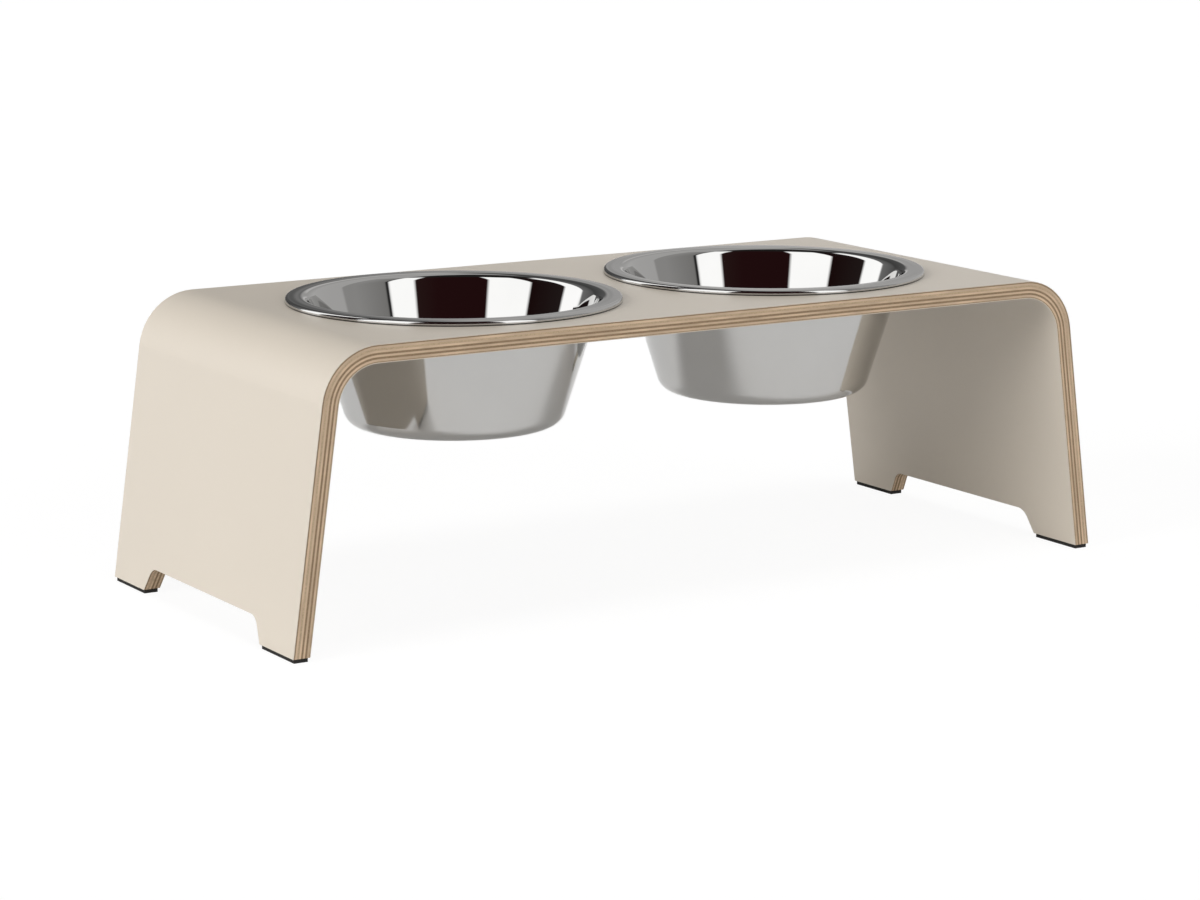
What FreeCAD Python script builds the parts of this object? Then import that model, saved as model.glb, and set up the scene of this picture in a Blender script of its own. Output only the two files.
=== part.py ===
import FreeCAD, Part
import math
import os

import Sketcher

# Raised feeder: a bent plywood bridge faced with laminate on both sides, two steel bowls
# that drop into round holes in its top, and a soft pad stuck under each of its four feet.
# +X runs along the bridge, +Y towards its back and +Z up. The origin lies on the floor
# under the middle of the bridge.

# Driving sizes: name, value in millimetres or degrees, meaning
SIZES = (
    ("floor_length", 632, "length of the bridge across its cut foot ends"),
    ("stand_depth", 265, "front edge to back edge"),
    ("top_height", 195.1, "floor to the top face"),
    ("splay", 8, "lean of the legs from upright, degrees"),
    ("bend_radius", 40, "radius of the bends on the outer face"),
    ("laminate_thickness", 0.4, "decorative laminate on each side"),
    ("face_veneer_thickness", 0.8, "sanded veneer under each laminate"),
    ("core_veneer_thickness", 1.35, "each veneer between the face veneers"),
    ("foot_width", 46.5, "width of a foot along the depth, at its cut end"),
    ("notch_height", 16.3, "height of the gap between the feet of a leg"),
    ("notch_slant", 30, "slant of the gap's sides from upright, degrees"),
    ("notch_corner_radius", 11, "radius of the gap's upper corners"),
    ("bowl_spacing", 250, "centre to centre of the bowls"),
    ("bowl_depth", 83.3, "top face down to the underside of a bowl"),
    ("bowl_taper", 17.4, "slope of the bowl wall from upright, degrees"),
    ("bowl_corner_radius", 12, "radius between bowl wall and bottom, outside"),
    ("bowl_shoulder_radius", 6, "radius between bowl wall and flange, inside"),
    ("steel_thickness", 0.8, "sheet of the bowls"),
    ("rim_diameter", 225.2, "outer diameter of a bowl's rim"),
    ("rim_height", 3.7, "top face up to the flange of a bowl"),
    ("rim_edge_radius", 2.2, "radius where the flange turns down to the lip"),
    ("flange_width", 10.1, "rim's outer edge in to the shoulder"),
    ("hole_clearance", 1.2, "gap round the bowl wall at the top face"),
    ("pad_thickness", 2.6, "soft pad under each foot"),
    ("film_thickness", 0.2, "adhesive film between pad and foot"),
    ("pad_inset", 1.2, "pad edge in from each side of the foot end"),
)
CORE_VENEERS = 7

doc = FreeCAD.newDocument("raised_feeder")
sheet = doc.addObject("Spreadsheet::Sheet", "Sizes")
for row, (alias, value, meaning) in enumerate(SIZES, start=1):
    sheet.set(f"A{row}", meaning)
    sheet.set(f"B{row}", str(value))
    sheet.setAlias(f"B{row}", alias)
doc.recompute()

# Sizes worked out from the driving ones, as expressions
FOOT_END = "(Sizes.pad_thickness + Sizes.film_thickness)"
SHOULDER_CENTRE = "(Sizes.rim_diameter / 2 - Sizes.flange_width)"
SHOULDER_UNDERSIDE = "(Sizes.bowl_shoulder_radius - Sizes.steel_thickness)"
SHOULDER_DROP = "(Sizes.bowl_shoulder_radius - Sizes.rim_height)"
WALL_AT_TOP_FACE = f"({SHOULDER_CENTRE} - sqrt(max(0; {SHOULDER_UNDERSIDE}^2 - {SHOULDER_DROP}^2)))"
HOLE_RADIUS = f"({WALL_AT_TOP_FACE} + Sizes.hole_clearance)"

# Sheets of the bridge from its outer face to its inner face: name and thickness
LAYERS = [("outer_laminate", "laminate_thickness"), ("outer_face_veneer", "face_veneer_thickness")]
for count in range(1, CORE_VENEERS + 1):
    LAYERS.append((f"core_veneer_{count}", "core_veneer_thickness"))
LAYERS += [("inner_face_veneer", "face_veneer_thickness"), ("inner_laminate", "laminate_thickness")]
BOARD_THICKNESS = "(" + " + ".join(f"Sizes.{thickness}" for name, thickness in LAYERS) + ")"

# Sketch references: the origin point, the two sketch axes, and the points of a curve
ORIGIN = (-1, 1)
LEVEL_AXIS = -1
UPRIGHT_AXIS = -2
START, END, CENTRE = 1, 2, 3
SKETCH_NORMAL = FreeCAD.Vector(0, 0, 1)
QUARTER_TURN = math.pi / 2


def number(expression):
    """The value of an expression on the sheet."""
    return float(sheet.evalExpression(expression))


def new_sketch(body, name, role):
    """A sketch on one of the body's own origin planes."""
    sketch = body.newObject("Sketcher::SketchObject", name)
    planes = [feature for feature in body.Origin.OriginFeatures if feature.Role == role]
    sketch.AttachmentSupport = [(planes[0], "")]
    sketch.MapMode = "FlatFace"
    return sketch


def constrain(sketch, kind, *references):
    """A constraint without a size."""
    sketch.addConstraint(Sketcher.Constraint(kind, *references))


def dimension(sketch, name, kind, references, expression):
    """A named length driven by the sheet."""
    index = sketch.addConstraint(Sketcher.Constraint(kind, *references, number(expression)))
    sketch.renameConstraint(index, name)
    sketch.setExpression(f"Constraints.{name}", expression)


def slope(sketch, name, line, degrees):
    """A named angle of a line from the level axis, driven by the sheet."""
    index = sketch.addConstraint(Sketcher.Constraint("Angle", line, math.radians(number(degrees))))
    sketch.renameConstraint(index, name)
    sketch.setExpression(f"Constraints.{name}", f"({degrees}) * 1 deg")


def add_line(sketch, start, end):
    """A straight edge between two points of the sketch."""
    return sketch.addGeometry(Part.LineSegment(FreeCAD.Vector(*start), FreeCAD.Vector(*end)))


def add_arc(sketch, centre, radius, start_angle, end_angle):
    """A round edge, anticlockwise from the first angle to the second."""
    circle = Part.Circle(FreeCAD.Vector(*centre), SKETCH_NORMAL, radius)
    return sketch.addGeometry(Part.ArcOfCircle(circle, start_angle, end_angle))


def join_ends(sketch, first, first_point, second, second_point):
    """A straight edge that closes the gap between two ends."""
    start = sketch.getPoint(first, first_point)
    end = sketch.getPoint(second, second_point)
    line = add_line(sketch, (start.x, start.y), (end.x, end.y))
    constrain(sketch, "Coincident", line, START, first, first_point)
    constrain(sketch, "Coincident", line, END, second, second_point)


def add_arch(sketch, name, half_width, foot, lean, corner_radius, top):
    """Two leaning sides and a level top with round corners, the same on both sides of the upright axis."""
    foot_x, foot_z = number(half_width), number(foot)
    angle = math.radians(number(lean))
    radius, top_z = number(corner_radius), number(top)
    centre_z = top_z - radius
    centre_x = foot_x - (centre_z - foot_z) * math.tan(angle) - radius / math.cos(angle)
    bend_x = centre_x + radius * math.cos(angle)
    bend_z = centre_z + radius * math.sin(angle)

    right_side = add_line(sketch, (foot_x, foot_z), (bend_x, bend_z))
    right_corner = add_arc(sketch, (centre_x, centre_z), radius, angle, QUARTER_TURN)
    level = add_line(sketch, (centre_x, top_z), (-centre_x, top_z))
    left_corner = add_arc(sketch, (-centre_x, centre_z), radius, QUARTER_TURN, math.pi - angle)
    left_side = add_line(sketch, (-foot_x, foot_z), (-bend_x, bend_z))

    constrain(sketch, "Tangent", right_side, END, right_corner, START)
    constrain(sketch, "Tangent", right_corner, END, level, START)
    constrain(sketch, "Tangent", level, END, left_corner, START)
    constrain(sketch, "Tangent", left_corner, END, left_side, END)
    constrain(sketch, "Symmetric", left_side, START, right_side, START, UPRIGHT_AXIS)
    constrain(sketch, "Horizontal", level)
    constrain(sketch, "Equal", right_corner, left_corner)
    dimension(sketch, f"{name}_half_width", "DistanceX", (*ORIGIN, right_side, START), half_width)
    dimension(sketch, f"{name}_foot", "DistanceY", (*ORIGIN, right_side, START), foot)
    dimension(sketch, f"{name}_top", "DistanceY", (*ORIGIN, level, START), top)
    dimension(sketch, f"{name}_radius", "Radius", (right_corner,), corner_radius)
    slope(sketch, f"{name}_right_slope", right_side, f"90 + {lean}")
    slope(sketch, f"{name}_left_slope", left_side, f"90 - {lean}")
    return right_side, left_side


def add_board_face(sketch, name, depth):
    """The line of the bridge at a depth below its outer face."""
    return add_arch(
        sketch,
        name,
        half_width=f"Sizes.floor_length / 2 - ({depth}) / cos(Sizes.splay)",
        foot=FOOT_END,
        lean="Sizes.splay",
        corner_radius=f"Sizes.bend_radius - ({depth})",
        top=f"Sizes.top_height - ({depth})",
    )


def cut_through(body, name, sketch):
    """A cut of the sketch's outline through the whole body, to both sides of the sketch."""
    pocket = body.newObject("PartDesign::Pocket", name)
    pocket.Profile = sketch
    pocket.Type = "ThroughAll"
    pocket.SideType = "Symmetric"


def bent_sheet(label, outer_depth, inner_depth):
    """One sheet of the bridge: a bent strip with the bowl holes and the gaps between its feet."""
    body = doc.addObject("PartDesign::Body", label)

    profile = new_sketch(body, f"{label}_profile", "XZ_Plane")
    outer_right, outer_left = add_board_face(profile, "outer", outer_depth)
    inner_right, inner_left = add_board_face(profile, "inner", inner_depth)
    join_ends(profile, outer_right, START, inner_right, START)
    join_ends(profile, outer_left, START, inner_left, START)
    strip = body.newObject("PartDesign::Pad", f"{label}_strip")
    strip.Profile = profile
    strip.SideType = "Symmetric"
    strip.setExpression("Length", "Sizes.stand_depth")

    holes = new_sketch(body, f"{label}_hole_circles", "XY_Plane")
    left, right = (
        holes.addGeometry(Part.Circle(FreeCAD.Vector(centre, 0, 0), SKETCH_NORMAL, number(HOLE_RADIUS)))
        for centre in (number("-Sizes.bowl_spacing / 2"), number("Sizes.bowl_spacing / 2"))
    )
    constrain(holes, "PointOnObject", right, CENTRE, LEVEL_AXIS)
    constrain(holes, "Symmetric", left, CENTRE, right, CENTRE, UPRIGHT_AXIS)
    constrain(holes, "Equal", left, right)
    dimension(holes, "hole_radius", "Radius", (right,), HOLE_RADIUS)
    dimension(holes, "hole_offset", "DistanceX", (*ORIGIN, right, CENTRE), "Sizes.bowl_spacing / 2")
    cut_through(body, f"{label}_holes", holes)

    gap = new_sketch(body, f"{label}_gap_outline", "YZ_Plane")
    floor_half_width = f"Sizes.stand_depth / 2 - Sizes.foot_width + {FOOT_END} * tan(Sizes.notch_slant)"
    gap_right, gap_left = add_arch(
        gap,
        "gap",
        half_width=floor_half_width,
        foot="0",
        lean="Sizes.notch_slant",
        corner_radius="Sizes.notch_corner_radius",
        top=f"{FOOT_END} + Sizes.notch_height",
    )
    join_ends(gap, gap_right, START, gap_left, START)
    cut_through(body, f"{label}_gaps", gap)
    return body


def add_bowl_skin(sketch, name, depth, corner_radius, shoulder_radius, flange, edge_radius, lip):
    """Half the section of one side of a bowl's sheet, from the middle of its bottom out to its lip."""
    taper = math.radians(number("Sizes.bowl_taper"))
    bottom_z, corner = -number(depth), number(corner_radius)
    shoulder_x, shoulder = number(SHOULDER_CENTRE), number(shoulder_radius)
    flange_z, edge, lip_x = number(flange), number(edge_radius), number(lip)
    shoulder_z = flange_z - shoulder
    wall_top = (shoulder_x - shoulder * math.cos(taper), shoulder_z + shoulder * math.sin(taper))
    corner_z = bottom_z + corner
    wall_foot_z = corner_z - corner * math.sin(taper)
    wall_foot = (wall_top[0] - (wall_top[1] - wall_foot_z) * math.tan(taper), wall_foot_z)
    corner_x = wall_foot[0] - corner * math.cos(taper)
    edge_centre = (lip_x - edge, flange_z - edge)

    bottom = add_line(sketch, (0, bottom_z), (corner_x, bottom_z))
    base_corner = add_arc(sketch, (corner_x, corner_z), corner, -QUARTER_TURN, -taper)
    wall = add_line(sketch, wall_foot, wall_top)
    shoulder_arc = add_arc(sketch, (shoulder_x, shoulder_z), shoulder, QUARTER_TURN, math.pi - taper)
    flange_line = add_line(sketch, (shoulder_x, flange_z), (edge_centre[0], flange_z))
    edge_arc = add_arc(sketch, edge_centre, edge, 0, QUARTER_TURN)
    lip_line = add_line(sketch, (lip_x, edge_centre[1]), (lip_x, 0))

    constrain(sketch, "Tangent", bottom, END, base_corner, START)
    constrain(sketch, "Tangent", base_corner, END, wall, START)
    constrain(sketch, "Tangent", wall, END, shoulder_arc, END)
    constrain(sketch, "Tangent", shoulder_arc, START, flange_line, START)
    constrain(sketch, "Tangent", flange_line, END, edge_arc, END)
    constrain(sketch, "Tangent", edge_arc, START, lip_line, START)
    constrain(sketch, "Horizontal", bottom)
    constrain(sketch, "Horizontal", flange_line)
    constrain(sketch, "Vertical", lip_line)
    constrain(sketch, "PointOnObject", bottom, START, UPRIGHT_AXIS)
    constrain(sketch, "PointOnObject", lip_line, END, LEVEL_AXIS)
    dimension(sketch, f"{name}_depth", "DistanceY", (bottom, START, *ORIGIN), depth)
    dimension(sketch, f"{name}_corner", "Radius", (base_corner,), corner_radius)
    dimension(sketch, f"{name}_shoulder", "Radius", (shoulder_arc,), shoulder_radius)
    dimension(sketch, f"{name}_edge", "Radius", (edge_arc,), edge_radius)
    dimension(sketch, f"{name}_flange", "DistanceY", (*ORIGIN, flange_line, START), flange)
    dimension(sketch, f"{name}_flange_start", "DistanceX", (*ORIGIN, flange_line, START), SHOULDER_CENTRE)
    dimension(sketch, f"{name}_lip", "DistanceX", (*ORIGIN, lip_line, START), lip)
    slope(sketch, f"{name}_slope", wall, "90 - Sizes.bowl_taper")
    return bottom, lip_line


def bowl(label, side):
    """A drawn steel bowl: its lip stands on the top face, its wall hangs through the hole."""
    body = doc.addObject("PartDesign::Body", label)
    section = new_sketch(body, f"{label}_section", "XZ_Plane")
    under_bottom, under_lip = add_bowl_skin(
        section,
        "under",
        depth="Sizes.bowl_depth",
        corner_radius="Sizes.bowl_corner_radius",
        shoulder_radius=SHOULDER_UNDERSIDE,
        flange="Sizes.rim_height - Sizes.steel_thickness",
        edge_radius="Sizes.rim_edge_radius - Sizes.steel_thickness",
        lip="Sizes.rim_diameter / 2 - Sizes.steel_thickness",
    )
    upper_bottom, upper_lip = add_bowl_skin(
        section,
        "upper",
        depth="Sizes.bowl_depth - Sizes.steel_thickness",
        corner_radius="Sizes.bowl_corner_radius - Sizes.steel_thickness",
        shoulder_radius="Sizes.bowl_shoulder_radius",
        flange="Sizes.rim_height",
        edge_radius="Sizes.rim_edge_radius",
        lip="Sizes.rim_diameter / 2",
    )
    join_ends(section, under_lip, END, upper_lip, END)
    join_ends(section, under_bottom, START, upper_bottom, START)
    turned = body.newObject("PartDesign::Revolution", f"{label}_turned")
    turned.Profile = section
    turned.ReferenceAxis = (section, ["V_Axis"])
    turned.Angle = 360
    body.setExpression("Placement.Base.x", f"{side} * Sizes.bowl_spacing / 2")
    body.setExpression("Placement.Base.z", "Sizes.top_height")
    return body


def foot_layer(label, side_x, side_y, height, thickness):
    """A flat strip under one foot, set in from the edges of the foot's cut end."""
    width = f"({BOARD_THICKNESS} / cos(Sizes.splay) - 2 * Sizes.pad_inset)"
    length = "(Sizes.foot_width - 2 * Sizes.pad_inset)"
    middle_x = f"{side_x} * (Sizes.floor_length / 2 - {BOARD_THICKNESS} / cos(Sizes.splay) / 2)"
    middle_y = f"{side_y} * (Sizes.stand_depth / 2 - Sizes.foot_width / 2)"
    strip = doc.addObject("Part::Box", label)
    strip.setExpression("Length", width)
    strip.setExpression("Width", length)
    strip.setExpression("Height", thickness)
    strip.setExpression("Placement.Base.x", f"{middle_x} - {width} / 2")
    strip.setExpression("Placement.Base.y", f"{middle_y} - {length} / 2")
    strip.setExpression("Placement.Base.z", height)
    return strip


pieces = []

# Bridge: every sheet starts where the one outside it ends
depth = "0"
for label, thickness in LAYERS:
    inner_depth = f"{depth} + Sizes.{thickness}"
    pieces.append(bent_sheet(label, depth, inner_depth))
    depth = inner_depth

# Bowls
pieces.append(bowl("left_bowl", -1))
pieces.append(bowl("right_bowl", 1))

# Pads and the film that holds each to its foot
for end, side_y in (("front", -1), ("back", 1)):
    for hand, side_x in (("left", -1), ("right", 1)):
        foot = f"{end}_{hand}"
        pieces.append(foot_layer(f"{foot}_pad", side_x, side_y, "0", "Sizes.pad_thickness"))
        film_height, film = "Sizes.pad_thickness", "Sizes.film_thickness"
        pieces.append(foot_layer(f"{foot}_pad_adhesive", side_x, side_y, film_height, film))

# Rebuild, check every object, then write one file for each piece
doc.recompute()
for item in doc.Objects:
    if "Invalid" in item.State or "Error" in item.State:
        raise RuntimeError(f"{item.Label} failed to rebuild: {item.State}")
for piece in pieces:
    if piece.Shape.isNull() or not piece.Shape.isValid():
        raise RuntimeError(f"{piece.Label} has no valid shape")

os.makedirs("parts", exist_ok=True)
for piece in pieces:
    piece.Shape.exportStep(f"parts/{piece.Label}.step")
    print(piece.Label, len(piece.Shape.Solids), round(piece.Shape.Volume, 1))
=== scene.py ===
import math

import bpy
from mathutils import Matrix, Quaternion, Vector


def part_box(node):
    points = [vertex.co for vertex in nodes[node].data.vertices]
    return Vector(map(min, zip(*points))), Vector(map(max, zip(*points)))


# Raised feeder in its studio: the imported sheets, bowls and pads keep their shapes and get their
# materials here. Metres, +X along the bridge, +Y towards its back, +Z up.
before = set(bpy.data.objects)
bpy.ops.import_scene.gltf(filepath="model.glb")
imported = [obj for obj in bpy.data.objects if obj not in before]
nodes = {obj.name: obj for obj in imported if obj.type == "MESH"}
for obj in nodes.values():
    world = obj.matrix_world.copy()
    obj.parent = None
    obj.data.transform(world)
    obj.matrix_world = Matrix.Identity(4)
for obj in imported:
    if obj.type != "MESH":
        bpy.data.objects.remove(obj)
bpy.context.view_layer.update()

# Colours, as linear values
WHITE = (1.0, 1.0, 1.0)
WARM_WHITE = (1.0, 0.99, 0.97)
CREAM = (0.76, 0.69, 0.595)
STEEL = (0.60, 0.598, 0.59)
RUBBER = (0.027, 0.026, 0.025)
FILM = (0.022, 0.021, 0.020)
PALE_VENEER = (0.66, 0.50, 0.345)
FAINT_VENEER = (0.54, 0.40, 0.27)
TAN_VENEER = (0.42, 0.30, 0.195)
BROWN_VENEER = (0.31, 0.21, 0.128)

# Section of a bowl's rim
FLANGE_WIDTH = 0.0101
RIM_HEIGHT = 0.0037
SHOULDER_RADIUS = 0.006
RIM_EDGE_RADIUS = 0.0022
STEEL_THICKNESS = 0.0008
BOWL_TAPER = math.radians(17.4)

# Finish of the steel: steepest slope of the domed flange, spinning rings, and painted contact shade along
# the foot of the lip
FLANGE_SLOPE = 0.06
RINGS_PER_METRE = 900.0
RING_DEPTH = 0.0000005
CONTACT_SHADE_HEIGHT = 0.0011
CONTACT_SHADE_DARKNESS = 0.1

# Range that holds most of a noise's values
NOISE_SPAN = (0.3, 0.7)


def grey(level):
    """A colour with three equal parts."""
    return (level, level, level)


def opaque(colour):
    """A colour with full cover."""
    return (*colour, 1.0)


def shade(colour, factor):
    """A colour made lighter or darker."""
    return tuple(min(1.0, part * factor) for part in colour)


class Graph:
    """A node tree with short calls for the nodes that the materials share."""

    def __init__(self, tree):
        self.tree = tree

    def put(self, socket, value):
        """Links an output to the socket, or sets a plain value on it."""
        if isinstance(value, bpy.types.NodeSocket):
            self.tree.links.new(value, socket)
        else:
            socket.default_value = value

    def node(self, kind, inputs=None, **settings):
        """A new node with its settings and inputs."""
        made = self.tree.nodes.new("ShaderNode" + kind)
        for name, value in settings.items():
            setattr(made, name, value)
        for name, value in (inputs or {}).items():
            self.put(made.inputs[name], value)
        return made

    def output(self, kind, inputs, **settings):
        """The first output of a new node."""
        return self.node(kind, inputs, **settings).outputs[0]

    def math(self, operation, *values):
        """One step of arithmetic."""
        return self.output("Math", dict(enumerate(values)), operation=operation)

    def product(self, first, *others):
        """Several values multiplied together."""
        for other in others:
            first = self.math("MULTIPLY", first, other)
        return first

    def mean(self, first, second, first_share):
        """The weighted mean of two values."""
        return self.math("MULTIPLY_ADD", first, first_share, self.math("MULTIPLY", second, 1 - first_share))

    def spread(self, value, low, high, to_low=0.0, to_high=1.0):
        """A value moved smoothly from one range to another, and held inside it."""
        inputs = {"Value": value, "From Min": low, "From Max": high, "To Min": to_low, "To Max": to_high}
        return self.output("MapRange", inputs, interpolation_type="SMOOTHSTEP")

    def noise(self, vector, scale, detail=2.0, roughness=0.5):
        """Cloudy variation from 0 to 1."""
        inputs = {"Vector": vector, "Scale": scale, "Detail": detail, "Roughness": roughness}
        return self.node("TexNoise", inputs).outputs["Fac"]

    def blend(self, share, first, second):
        """A colour between two colours."""
        made = self.node("Mix", {0: share}, data_type="RGBA")
        for index, colour in ((6, first), (7, second)):
            plain = not isinstance(colour, bpy.types.NodeSocket)
            self.put(made.inputs[index], opaque(colour) if plain else colour)
        return made.outputs[2]

    def blend_vectors(self, share, first, second):
        """A vector between two vectors."""
        return self.node("Mix", {0: share, 4: first, 5: second}, data_type="VECTOR").outputs[1]

    def place(self):
        """The place on the object, in metres."""
        return self.node("TexCoord").outputs["Object"]

    def parts(self, vector):
        """The three parts of a vector."""
        return self.node("SeparateXYZ", {"Vector": vector}).outputs

    def vector(self, x, y, z):
        """A vector from its three parts."""
        return self.output("CombineXYZ", {"X": x, "Y": y, "Z": z})

    def scaled(self, vector, factor):
        """A vector or a colour times a number."""
        return self.output("VectorMath", {0: vector, "Scale": factor}, operation="SCALE")

    def vector_math(self, operation, *vectors):
        """One step of arithmetic with vectors that gives a vector."""
        return self.output("VectorMath", dict(enumerate(vectors)), operation=operation)

    def vector_number(self, operation, *vectors):
        """One step of arithmetic with vectors that gives a number."""
        return self.node("VectorMath", dict(enumerate(vectors)), operation=operation).outputs["Value"]


def new_material(name):
    """A material with its graph and main shader."""
    material = bpy.data.materials.new(name)
    material.use_nodes = True
    return material, Graph(material.node_tree), material.node_tree.nodes["Principled BSDF"]


def shades(graph, tone, colour, darkest, lightest):
    """One colour, varied from a darker to a lighter shade."""
    return graph.blend(tone, shade(colour, darkest), shade(colour, lightest))


def soft_edges(graph, radius):
    """Normals that round off the edges a little."""
    return graph.output("Bevel", {"Radius": radius}, samples=4)


def add_bump(graph, shader, height, depth, strength=1.0, normal=None):
    """Fine relief on a surface, over its own normals or over given ones."""
    inputs = {"Height": height, "Distance": depth, "Strength": strength}
    if normal:
        inputs["Normal"] = normal
    graph.put(shader.inputs["Normal"], graph.output("Bump", inputs))


def laminate_material(name):
    """Matt cream laminate: faint clouding, a fine pressed texture and softened edges."""
    material, graph, shader = new_material(name)
    clouds = graph.noise(graph.place(), scale=9.0, detail=3.0)
    grain = graph.noise(graph.place(), scale=1400.0)
    tone = graph.mean(clouds, grain, first_share=0.7)
    graph.put(shader.inputs["Base Color"], shades(graph, tone, CREAM, darkest=0.97, lightest=1.03))
    graph.put(shader.inputs["Roughness"], graph.spread(grain, *NOISE_SPAN, to_low=0.28, to_high=0.36))
    shader.inputs["Specular IOR Level"].default_value = 0.5
    add_bump(graph, shader, grain, depth=0.00004, strength=0.5, normal=soft_edges(graph, radius=0.0004))
    return material


def veneer_material(name, colour, along_bridge, seed):
    """Sanded veneer: fibre streaks along its grain, which shows as pores where it is cut across."""
    material, graph, shader = new_material(name)
    along_grain = 18.0
    across_grain = 1100.0
    run_scale = along_grain if along_bridge else across_grain
    depth_scale = across_grain if along_bridge else along_grain
    x, y, z = graph.parts(graph.place())
    run = graph.math("SUBTRACT", graph.math("ABSOLUTE", x), z)
    across = graph.math("ADD", graph.math("ABSOLUTE", x), z)
    streak_place = graph.vector(
        graph.math("MULTIPLY_ADD", run, run_scale, seed),
        graph.math("MULTIPLY", y, depth_scale),
        graph.math("MULTIPLY", across, run_scale),
    )
    streaks = graph.noise(streak_place, scale=1.0, detail=3.0, roughness=0.6)
    clouds = graph.noise(graph.vector(graph.math("ADD", run, seed), y, across), scale=28.0)
    tone = graph.spread(graph.mean(streaks, clouds, first_share=0.75), *NOISE_SPAN)
    graph.put(shader.inputs["Base Color"], shades(graph, tone, colour, darkest=0.80, lightest=1.18))
    roughness = graph.spread(streaks, low=0.2, high=0.8, to_low=0.78, to_high=0.62)
    graph.put(shader.inputs["Roughness"], roughness)
    shader.inputs["Specular IOR Level"].default_value = 0.25
    add_bump(graph, shader, streaks, depth=0.00006, strength=0.5)
    return material


def section_normal(graph, outward, level, upright):
    """A normal from its parts away from a bowl's axis and upwards."""
    level_part = graph.scaled(outward, level)
    upright_part = graph.vector(0.0, 0.0, upright)
    return graph.vector_math("NORMALIZE", graph.vector_math("ADD", level_part, upright_part))


def rim_normal(graph, radius, z, outward, rim_radius, rim_top):
    """The mesh's normal, made exactly round on the rim's two bends and slightly domed on the flange."""
    shoulder = rim_radius - FLANGE_WIDTH
    edge = rim_radius - RIM_EDGE_RADIUS
    skin = STEEL_THICKNESS / 2
    normal = graph.node("NewGeometry").outputs["Normal"]
    bends = (
        (shoulder, SHOULDER_RADIUS, "LESS_THAN", SHOULDER_RADIUS * math.sin(BOWL_TAPER)),
        (edge, RIM_EDGE_RADIUS, "GREATER_THAN", 0.0),
    )
    for centre, bend_radius, side, lowest in bends:
        level = graph.math("SUBTRACT", radius, centre)
        upright = graph.math("SUBTRACT", z, rim_top - bend_radius)
        reach = graph.vector_number("LENGTH", graph.vector(level, upright, 0.0))
        on_bend = graph.product(
            graph.math(side, level, 0.0),
            graph.math("GREATER_THAN", upright, lowest),
            graph.math("COMPARE", reach, bend_radius, skin),
        )
        normal = graph.blend_vectors(on_bend, normal, section_normal(graph, outward, level, upright))
    half = (edge - shoulder) / 2
    from_middle = graph.math("SUBTRACT", radius, shoulder + half)
    wave = graph.math("SINE", graph.math("MULTIPLY", from_middle, math.pi / half))
    domed = section_normal(graph, outward, graph.math("MULTIPLY", wave, FLANGE_SLOPE), 1.0)
    on_flange = graph.product(
        graph.math("COMPARE", from_middle, 0.0, half),
        graph.math("COMPARE", z, rim_top, skin),
    )
    return graph.blend_vectors(on_flange, normal, domed)


def steel_material(name, low, high):
    """Drawn stainless steel: polished inside, a little duller outside, with faint spinning rings and
    painted contact shade at the foot of the lip.
    """
    material, graph, shader = new_material(name)
    rim_radius = (high.x - low.x) / 2
    centre_x = (low.x + high.x) / 2
    x, y, z = graph.parts(graph.place())
    from_axis = graph.vector(graph.math("SUBTRACT", x, centre_x), y, 0.0)
    radius = graph.vector_number("LENGTH", from_axis)
    outward = graph.vector_math("NORMALIZE", from_axis)

    true_normal = graph.node("NewGeometry").outputs["True Normal"]
    facing = graph.vector_number("DOT_PRODUCT", outward, true_normal)
    outside = graph.spread(facing, low=-0.02, high=0.02)
    smears = graph.noise(graph.place(), scale=35.0, detail=3.0)
    polished = graph.spread(smears, low=0.35, high=0.75, to_low=0.012, to_high=0.025)
    dull = graph.spread(smears, *NOISE_SPAN, to_low=0.07, to_high=0.10)
    roughness = graph.output("Mix", {0: outside, 2: polished, 3: dull}, data_type="FLOAT")
    graph.put(shader.inputs["Roughness"], roughness)

    steel = shades(graph, smears, STEEL, darkest=0.97, lightest=1.03)
    # Painted contact shade: the outside of the lip is darkened near its foot, standing in for the shade
    # where the rim meets the board
    contact_shade_top = high.z - RIM_HEIGHT + CONTACT_SHADE_HEIGHT
    low_enough = graph.spread(z, contact_shade_top - CONTACT_SHADE_HEIGHT / 2, contact_shade_top, to_low=1.0, to_high=0.0)
    on_lip = graph.math("GREATER_THAN", radius, rim_radius - STEEL_THICKNESS)
    painted_contact_shade = graph.product(low_enough, on_lip)
    graph.put(shader.inputs["Base Color"], graph.blend(painted_contact_shade, steel, shade(STEEL, CONTACT_SHADE_DARKNESS)))
    shader.inputs["Metallic"].default_value = 1.0

    rings = graph.noise(graph.vector(radius, z, 0.0), scale=RINGS_PER_METRE)
    normal = rim_normal(graph, radius, z, outward, rim_radius, high.z)
    add_bump(graph, shader, rings, depth=RING_DEPTH, normal=normal)
    return material


def rubber_material(name):
    """Matt black rubber with a fine moulded grain."""
    material, graph, shader = new_material(name)
    grain = graph.noise(graph.place(), scale=1800.0)
    dust = graph.noise(graph.place(), scale=120.0, detail=3.0)
    graph.put(shader.inputs["Base Color"], shades(graph, dust, RUBBER, darkest=0.8, lightest=1.5))
    graph.put(shader.inputs["Roughness"], graph.spread(grain, *NOISE_SPAN, to_low=0.72, to_high=0.88))
    shader.inputs["Specular IOR Level"].default_value = 0.25
    add_bump(graph, shader, grain, depth=0.00008, strength=0.6, normal=soft_edges(graph, radius=0.0003))
    return material


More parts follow.
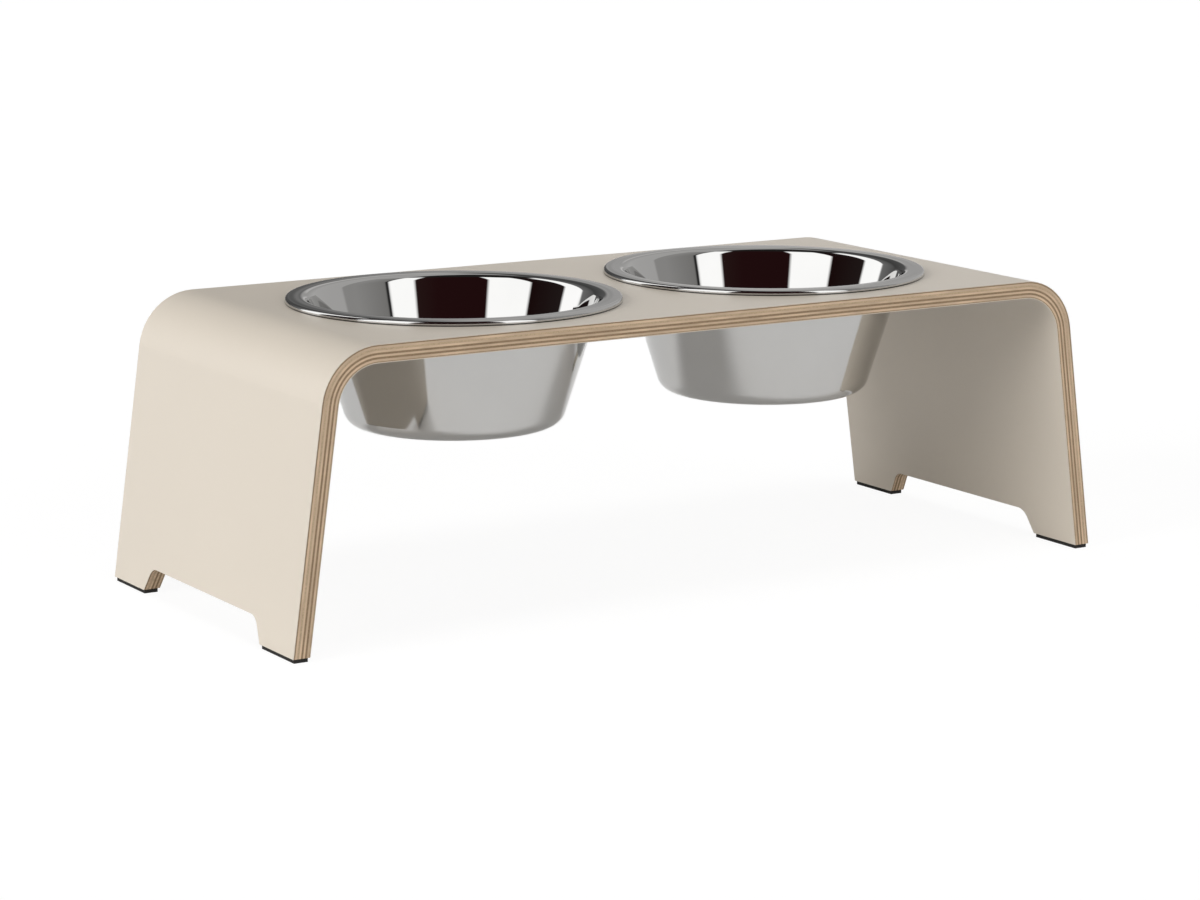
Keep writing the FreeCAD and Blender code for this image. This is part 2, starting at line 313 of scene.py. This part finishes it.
def film_material(name):
    """Adhesive film: a thin black acrylic with a slight gloss."""
    material, graph, shader = new_material(name)
    clouds = graph.noise(graph.place(), scale=400.0)
    graph.put(shader.inputs["Base Color"], shades(graph, clouds, FILM, darkest=0.85, lightest=1.15))
    graph.put(shader.inputs["Roughness"], graph.spread(clouds, *NOISE_SPAN, to_low=0.3, to_high=0.45))
    add_bump(graph, shader, clouds, depth=0.00002, strength=0.4)
    return material


def dress(node_name, material):
    """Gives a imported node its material."""
    for slot in nodes[node_name].material_slots:
        slot.material = material


def shader_by_ray(graph, in_light, in_steel, in_view):
    """One shader as a source of light, one as the steel mirrors it and one as the camera sees it."""
    ray = graph.node("LightPath").outputs
    lit = graph.output("MixShader", {0: ray["Is Glossy Ray"], 1: in_light, 2: in_steel})
    clear_view = graph.math("MAXIMUM", ray["Is Camera Ray"], ray["Is Transmission Ray"])
    return graph.output("MixShader", {0: clear_view, 1: lit, 2: in_view})


def bearing_spread(graph, bearing, ends, to_low=0.0, to_high=1.0):
    """A change between two bearings given in degrees."""
    return graph.spread(bearing, math.radians(ends[0]), math.radians(ends[1]), to_low, to_high)


def wall_colours(graph, bearing, walls):
    """The colours of the walls all round, blended from each bearing to the next."""
    share_of_turn = graph.math("MULTIPLY_ADD", bearing, 1 / math.tau, 0.5)
    ramp = graph.node("ValToRGB", {"Fac": share_of_turn})
    stops = ramp.color_ramp.elements
    while len(stops) > 1:
        stops.remove(stops[-1])
    stops[0].position = 0.0
    stops[0].color = opaque(walls[0][1])
    for degrees, colour in walls[1:]:
        stops.new(degrees / 360 + 0.5).color = opaque(colour)
    return ramp.outputs["Color"]


def floor_shader(graph, glow, reflected):
    """A white floor with some light of its own."""
    own = graph.output("Emission", {"Color": opaque(WHITE), "Strength": glow})
    lit = graph.output("BsdfDiffuse", {"Color": opaque(grey(reflected))})
    return graph.output("AddShader", {0: own, 1: lit})


# Bridge: laminate on both sides
laminate = laminate_material("cream_laminate")
dress("outer_laminate", laminate)
dress("inner_laminate", laminate)

# Veneers from the outside in: colour, and whether the grain runs along the bridge
VENEERS = {
    "outer_face_veneer": (BROWN_VENEER, False),
    "core_veneer_1": (PALE_VENEER, True),
    "core_veneer_2": (FAINT_VENEER, False),
    "core_veneer_3": (PALE_VENEER, True),
    "core_veneer_4": (BROWN_VENEER, False),
    "core_veneer_5": (PALE_VENEER, True),
    "core_veneer_6": (BROWN_VENEER, False),
    "core_veneer_7": (PALE_VENEER, True),
    "inner_face_veneer": (TAN_VENEER, False),
}
SEED_STEP = 7.3
for order, (node_name, (colour, along_bridge)) in enumerate(VENEERS.items()):
    dress(node_name, veneer_material(f"{node_name}_wood", colour, along_bridge, SEED_STEP * order))

# Bowls
for node_name in ("left_bowl", "right_bowl"):
    low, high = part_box(node_name)
    dress(node_name, steel_material(f"{node_name}_steel", low, high))

# Feet
rubber = rubber_material("pad_rubber_black")
film = film_material("pad_film")
for end in ("front", "back"):
    for hand in ("left", "right"):
        dress(f"{end}_{hand}_pad", rubber)
        dress(f"{end}_{hand}_pad_adhesive", film)

# Camera at the photo's viewing angle
CAMERA_PLACE = Vector((-1.28286, -2.03775, 0.55586))
CAMERA_DIRECTION = Vector((0.51968, 0.83210, -0.19375))
CAMERA_ROLL = 0.00235
SENSOR_WIDTH = 36.0
LENS = 106.62
CLIP_END = 100.0
camera_data = bpy.data.cameras.new("photo_camera")
camera_data.sensor_width = SENSOR_WIDTH
camera_data.lens = LENS
camera_data.clip_end = CLIP_END
camera = bpy.data.objects.new("photo_camera", camera_data)
bpy.context.scene.collection.objects.link(camera)
camera.location = CAMERA_PLACE
camera.rotation_mode = "QUATERNION"
roll = Quaternion((0.0, 0.0, 1.0), CAMERA_ROLL)
camera.rotation_quaternion = CAMERA_DIRECTION.to_track_quat("-Z", "Y") @ roll
bpy.context.scene.camera = camera

# Lamps: where each comes from, its strength, its width in degrees and its colour
LAMPS = {
    "key": (Vector((-0.93, -0.07, 0.34)), 1.68, 30, WARM_WHITE),
    "top": (Vector((0.0, -0.15, 1.0)), 0.61, 20, WHITE),
    "front_fill": (Vector((0.15, -0.97, 0.17)), 1.15, 60, WHITE),
    "right_fill": (Vector((1.0, 0.0, 0.06)), 0.75, 12, WHITE),
    "back_fill": (Vector((0.0, 1.0, 0.06)), 0.75, 12, WHITE),
}
for name, (comes_from, strength, width, colour) in LAMPS.items():
    lamp_data = bpy.data.lights.new(name, "SUN")
    lamp_data.energy = strength
    lamp_data.angle = math.radians(width)
    lamp_data.color = colour
    lamp = bpy.data.objects.new(name, lamp_data)
    lamp.rotation_mode = "QUATERNION"
    lamp.rotation_quaternion = (-comes_from).to_track_quat("-Z", "Y")
    lamp.visible_glossy = False
    bpy.context.scene.collection.objects.link(lamp)

# Light from all round, lower and higher up, and the heights between which it changes
LOW_FILL = (0.485, 0.48, 0.475)
HIGH_FILL = grey(0.20)
FILL_CHANGE = (0.25, 0.65)

# Studio walls as the steel sees them: bearing from the front in degrees, right positive, and colour
WHITE_CARD = grey(1.58)
WALLS = (
    (-180, grey(0.07)),
    (-174, grey(0.12)),
    (-156.5, grey(0.21)),
    (-154.5, WHITE_CARD),
    (-133.2, WHITE_CARD),
    (-131.2, (0.022, 0.015, 0.0145)),
    (-98.2, (0.014, 0.005, 0.005)),
    (-96.2, WHITE_CARD),
    (-60, WHITE_CARD),
    (-58, (0.021, 0.006, 0.0065)),
    (-15, (0.022, 0.0065, 0.007)),
    (3, (0.027, 0.0125, 0.0118)),
    (5, WHITE_CARD),
    (26.5, WHITE_CARD),
    (27.5, grey(0.03)),
    (30, grey(0.03)),
    (31, (0.27, 0.265, 0.26)),
    (60, (0.37, 0.365, 0.36)),
    (73, (0.37, 0.365, 0.36)),
    (75, (0.54, 0.535, 0.53)),
    (120, (0.54, 0.535, 0.53)),
    (138, (0.40, 0.395, 0.39)),
    (148, (0.38, 0.375, 0.37)),
    (154, grey(0.10)),
    (180, grey(0.07)),
)

# Stretch of the back wall that is lighter low down and high up: its bearings, the heights and the gains
LIGHT_WALL_START = (136, 141)
LIGHT_WALL_END = (150, 154)
LOW_LIGHT = (0.04, 0.12)
LOW_GAIN = 0.5
HIGH_LIGHT = (0.18, 0.28)
HIGH_GAIN = 0.5

# Ceiling above the walls: its height, and dark to the front, grey to the left back and pale to the right
CEILING_HEIGHT = math.sin(math.radians(58))
CEILING_BLUR = 0.02
LEFT_BACK_END = (-165, -155)
RIGHT_START = (24, 34)
DARK_CEILING = (0.02, 0.018, 0.018)
GREY_CEILING = grey(0.14)
PALE_CEILING = (0.52, 0.515, 0.51)

# World: even light, the walls and ceiling in the steel, and white behind the object
world = bpy.data.worlds.new("studio")
world.use_nodes = True
bpy.context.scene.world = world
graph = Graph(world.node_tree)
direction = graph.parts(graph.node("TexCoord").outputs["Generated"])
height = direction["Z"]
bearing = graph.math("ARCTAN2", direction["X"], graph.math("MULTIPLY", direction["Y"], -1.0))

on_light_wall = graph.product(
    bearing_spread(graph, bearing, LIGHT_WALL_START),
    bearing_spread(graph, bearing, LIGHT_WALL_END, to_low=1.0, to_high=0.0),
)
low_gain = graph.spread(height, *LOW_LIGHT, to_low=LOW_GAIN, to_high=0.0)
high_gain = graph.spread(height, *HIGH_LIGHT, to_low=0.0, to_high=HIGH_GAIN)
gain = graph.math("MULTIPLY_ADD", on_light_wall, graph.math("ADD", low_gain, high_gain), 1.0)
walls = graph.scaled(wall_colours(graph, bearing, WALLS), gain)

to_left_back = bearing_spread(graph, bearing, LEFT_BACK_END, to_low=1.0, to_high=0.0)
to_right = bearing_spread(graph, bearing, RIGHT_START)
ceiling = graph.blend(to_right, graph.blend(to_left_back, DARK_CEILING, GREY_CEILING), PALE_CEILING)
on_ceiling = graph.spread(height, CEILING_HEIGHT - CEILING_BLUR, CEILING_HEIGHT + CEILING_BLUR)
fill = graph.blend(graph.spread(height, *FILL_CHANGE), LOW_FILL, HIGH_FILL)
studio = shader_by_ray(
    graph,
    in_light=graph.output("Background", {"Color": fill}),
    in_steel=graph.output("Background", {"Color": graph.blend(on_ceiling, walls, ceiling)}),
    in_view=graph.output("Background", {"Color": opaque(WHITE)}),
)
graph.put(world.node_tree.nodes["World Output"].inputs["Surface"], studio)

# Floor: its own light and the share it reflects, as a source of light, in the steel and to the camera
FLOOR_HALF = 12.0
FLOOR_IN_LIGHT = (0.0, 0.66)
FLOOR_IN_STEEL = (0.04, 1.0)
FLOOR_IN_VIEW = (0.91, 0.13)
floor_mesh = bpy.data.meshes.new("floor")
corners = [(x * FLOOR_HALF, y * FLOOR_HALF, 0.0) for x, y in ((-1, -1), (1, -1), (1, 1), (-1, 1))]
floor_mesh.from_pydata(corners, [], [(0, 1, 2, 3)])
floor = bpy.data.objects.new("floor", floor_mesh)
bpy.context.scene.collection.objects.link(floor)

floor_material = bpy.data.materials.new("pale_floor")
floor_material.use_nodes = True
floor_material.node_tree.nodes.remove(floor_material.node_tree.nodes["Principled BSDF"])
graph = Graph(floor_material.node_tree)
surface = shader_by_ray(
    graph,
    in_light=floor_shader(graph, *FLOOR_IN_LIGHT),
    in_steel=floor_shader(graph, *FLOOR_IN_STEEL),
    in_view=floor_shader(graph, *FLOOR_IN_VIEW),
)
graph.put(floor_material.node_tree.nodes["Material Output"].inputs["Surface"], surface)
floor_mesh.materials.append(floor_material)

bpy.context.scene.view_settings.view_transform = "Standard"
